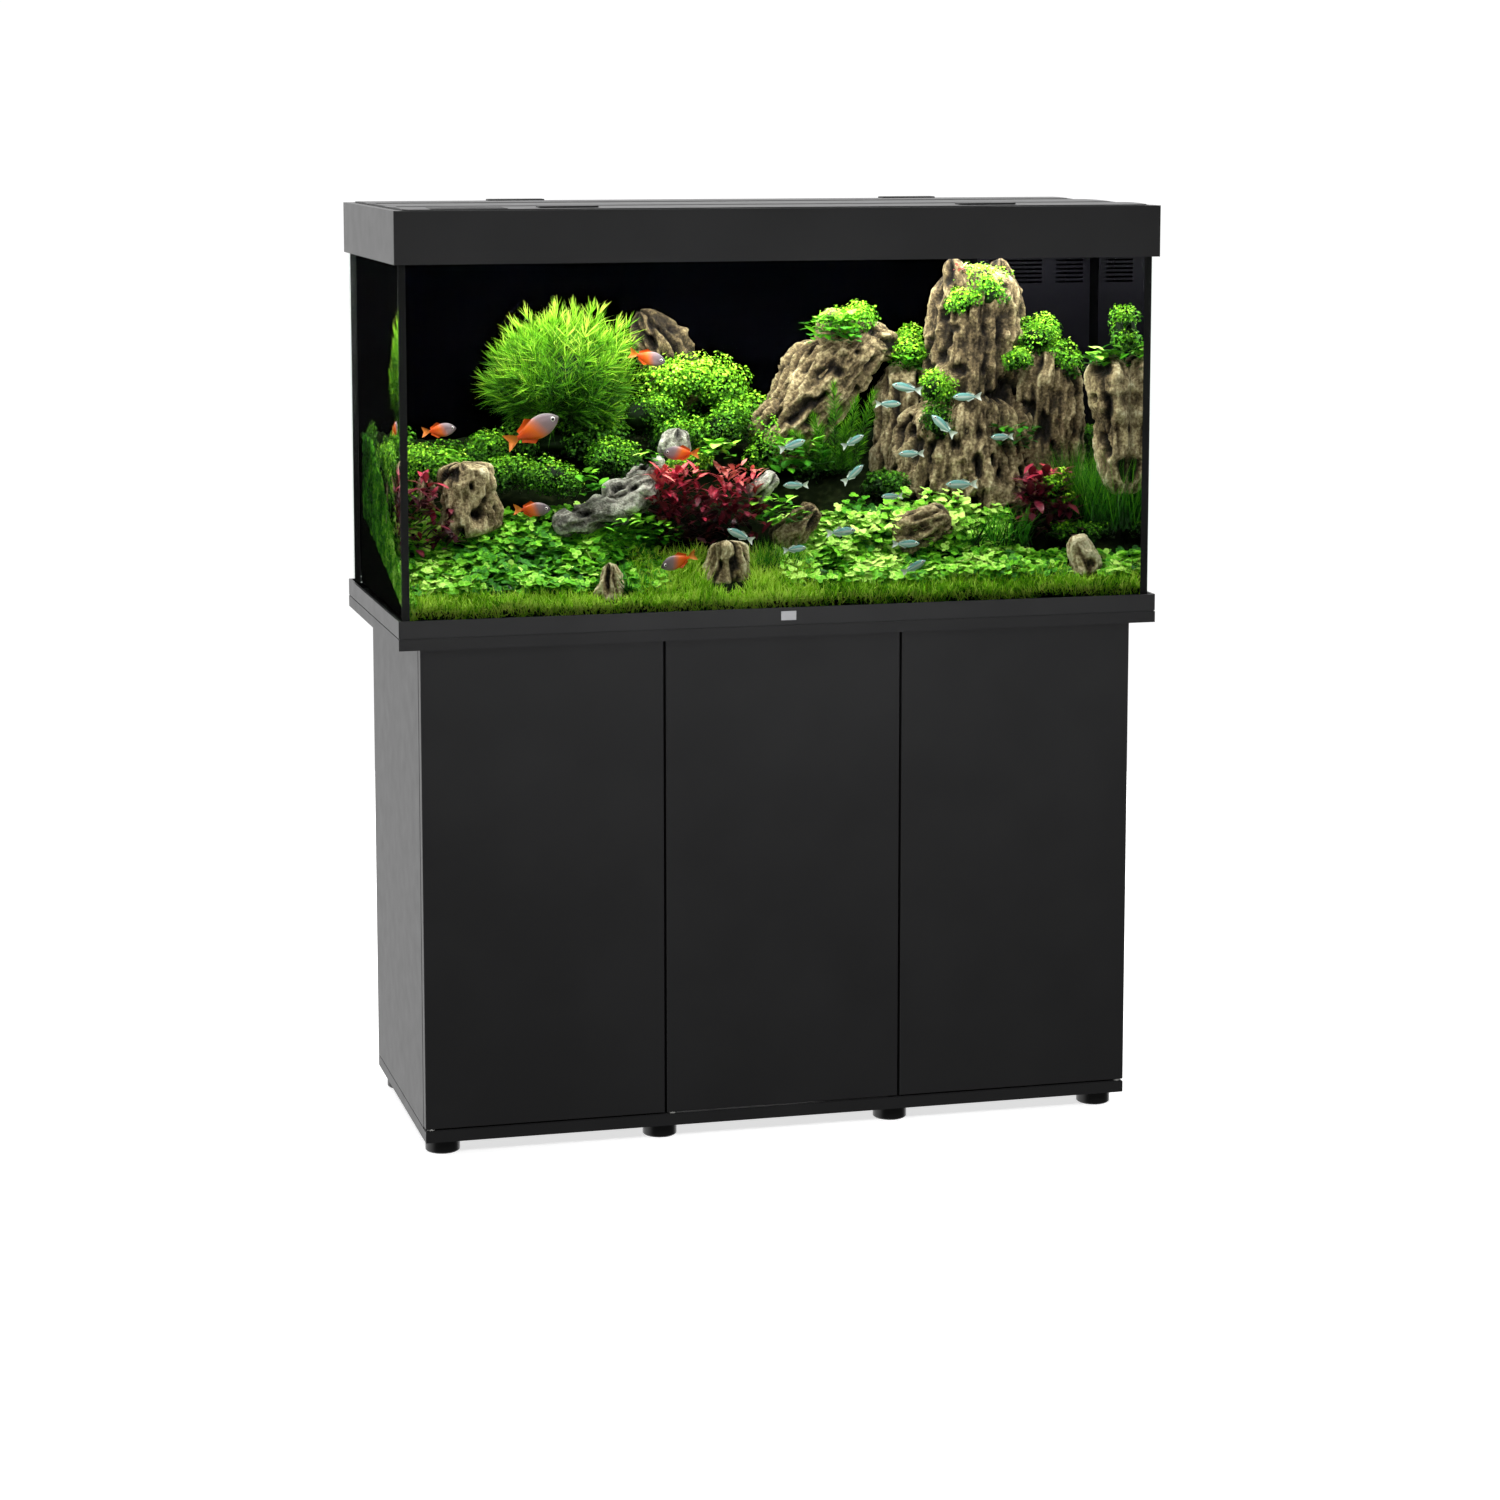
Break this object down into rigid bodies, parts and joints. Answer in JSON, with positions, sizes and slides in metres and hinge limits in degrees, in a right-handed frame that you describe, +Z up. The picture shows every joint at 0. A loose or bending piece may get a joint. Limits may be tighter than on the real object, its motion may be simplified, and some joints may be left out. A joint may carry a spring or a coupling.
{
  "type": "aquarium on stand",
  "caption": "Planted glass aquarium with hinged lid flaps, built-in light and internal filter, standing on a matching closed cabinet with push-to-open doors and round feet.",
  "frame": {"origin": "on the ground, under the middle of the lid", "axes": "+Z up, doors and front pane towards -Y, +X to the viewer's right"},
  "size_m": [1.213, 0.513, 1.462],
  "materials": {
    "charcoal_board": "satin charcoal foil",
    "back_board": "matte charcoal",
    "foot_plastic": "matte moulded",
    "steel": "zinc plated",
    "cam_zinc": "die-cast zinc",
    "bush_plastic": "natural nylon",
    "latch_plastic": "fine texture",
    "frame_plastic": "fine satin texture",
    "grip_plastic": "semi-gloss",
    "badge_metal": "brushed",
    "tank_glass": "float glass, polished edges",
    "black_silicone": "satin",
    "black_film": "matte",
    "light_metal": "anodised black",
    "light_plastic": "matte",
    "tube_diffuser": "frosted",
    "filter_plastic": "satin",
    "filter_foam": "open-cell foam",
    "heater_glass": "clear tube with moulded ends",
    "gravel": "fine grit",
    "rock": "layered, rough",
    "green_leaf": "thin leaves",
    "red_leaf": "thin leaves",
    "orange_fish": "smooth",
    "blue_fish": "smooth, iridescent"
  },
  "bodies": {
    "tank_and_cabinet": {"back_panels": "back_board", "background_film": "black_film", "badge": "badge_metal", "base_plate": "charcoal_board", "cable_grommets": "black_silicone", "cam_bolts": "steel", "cam_locks": "cam_zinc", "feet": "foot_plastic", "filter_box": "filter_plastic", "filter_sponges": "filter_foam", "fish_blue": "blue_fish", "fish_orange": "orange_fish", "flap_hinge_pins": "steel", "foot_screws": "steel", "glass_back": "tank_glass", "glass_bottom": "tank_glass", "glass_front": "tank_glass", "glass_left": "tank_glass", "glass_right": "tank_glass", "gravel": "gravel", "green_plants": "green_leaf", "heater": "heater_glass", "latch_bodies": "latch_plastic", "led_tubes": "tube_diffuser", "lid_frame": "frame_plastic", "light_bar": "light_metal", "light_cover": "frame_plastic", "light_end_caps": "light_plastic", "partition_left": "charcoal_board", "partition_right": "charcoal_board", "pivot_bushes": "bush_plastic", "pump_body": "filter_plastic", "red_plants": "red_leaf", "rock_tower": "rock", "rocks": "rock", "shelf_pins": "steel", "shelves": "charcoal_board", "side_panel_left": "charcoal_board", "side_panel_right": "charcoal_board", "silicone_seams": "black_silicone", "tank_base_frame": "frame_plastic", "top_panel": "charcoal_board"},
    "door_left": {"door_left": "charcoal_board", "door_left_pivots": "steel", "door_left_strike": "steel"},
    "door_middle": {"door_middle": "charcoal_board", "door_middle_pivots": "steel", "door_middle_strike": "steel"},
    "door_right": {"door_right": "charcoal_board", "door_right_pivots": "steel", "door_right_strike": "steel"},
    "latch_plunger_left": {"latch_plunger_left": "latch_plastic"},
    "latch_plunger_middle": {"latch_plunger_middle": "latch_plastic"},
    "latch_plunger_right": {"latch_plunger_right": "latch_plastic"},
    "front_flap": {"front_flap": "frame_plastic", "front_flap_grips": "grip_plastic"},
    "feeding_hatch": {"feeding_hatch": "frame_plastic"},
    "rear_flap": {"rear_flap": "frame_plastic", "rear_flap_grips": "grip_plastic"},
    "pump_nozzle": {"pump_nozzle": "filter_plastic"}
  },
  "joints": [
    {"name": "door_left_hinge", "type": "hinge", "parent": "tank_and_cabinet", "child": "door_left", "pos_m": [-0.562, -0.228, 0.42], "axis": [0, 0, -1], "range_deg": [0, 105]},
    {"name": "door_middle_hinge", "type": "hinge", "parent": "tank_and_cabinet", "child": "door_middle", "pos_m": [-0.1795, -0.228, 0.42], "axis": [0, 0, -1], "range_deg": [0, 100]},
    {"name": "door_right_hinge", "type": "hinge", "parent": "tank_and_cabinet", "child": "door_right", "pos_m": [0.562, -0.228, 0.42], "axis": [0, 0, 1], "range_deg": [0, 105]},
    {"name": "front_flap_hinge", "type": "hinge", "parent": "tank_and_cabinet", "child": "front_flap", "pos_m": [0, -0.105, 1.456], "axis": [-1, 0, 0], "range_deg": [0, 90]},
    {"name": "rear_flap_hinge", "type": "hinge", "parent": "tank_and_cabinet", "child": "rear_flap", "pos_m": [0, 0.098, 1.456], "axis": [1, 0, 0], "range_deg": [0, 90]},
    {"name": "feeding_hatch_lift", "type": "slide", "parent": "front_flap", "child": "feeding_hatch", "axis": [0, 0, 1], "range_m": [0, 0.02]},
    {"name": "pump_nozzle_turn", "type": "hinge", "parent": "tank_and_cabinet", "child": "pump_nozzle", "pos_m": [0.463, 0.1, 1.208], "axis": [0, 1, 0], "range_deg": [-60, 60]},
    {"name": "latch_plunger_left_press", "type": "slide", "parent": "tank_and_cabinet", "child": "latch_plunger_left", "axis": [0, 1, 0], "range_m": [0, 0.002], "stiffness_N_per_m": 300, "springref_m": -0.01},
    {"name": "latch_plunger_middle_press", "type": "slide", "parent": "tank_and_cabinet", "child": "latch_plunger_middle", "axis": [0, 1, 0], "range_m": [0, 0.002], "stiffness_N_per_m": 300, "springref_m": -0.01},
    {"name": "latch_plunger_right_press", "type": "slide", "parent": "tank_and_cabinet", "child": "latch_plunger_right", "axis": [0, 1, 0], "range_m": [0, 0.002], "stiffness_N_per_m": 300, "springref_m": -0.01}
  ]
}
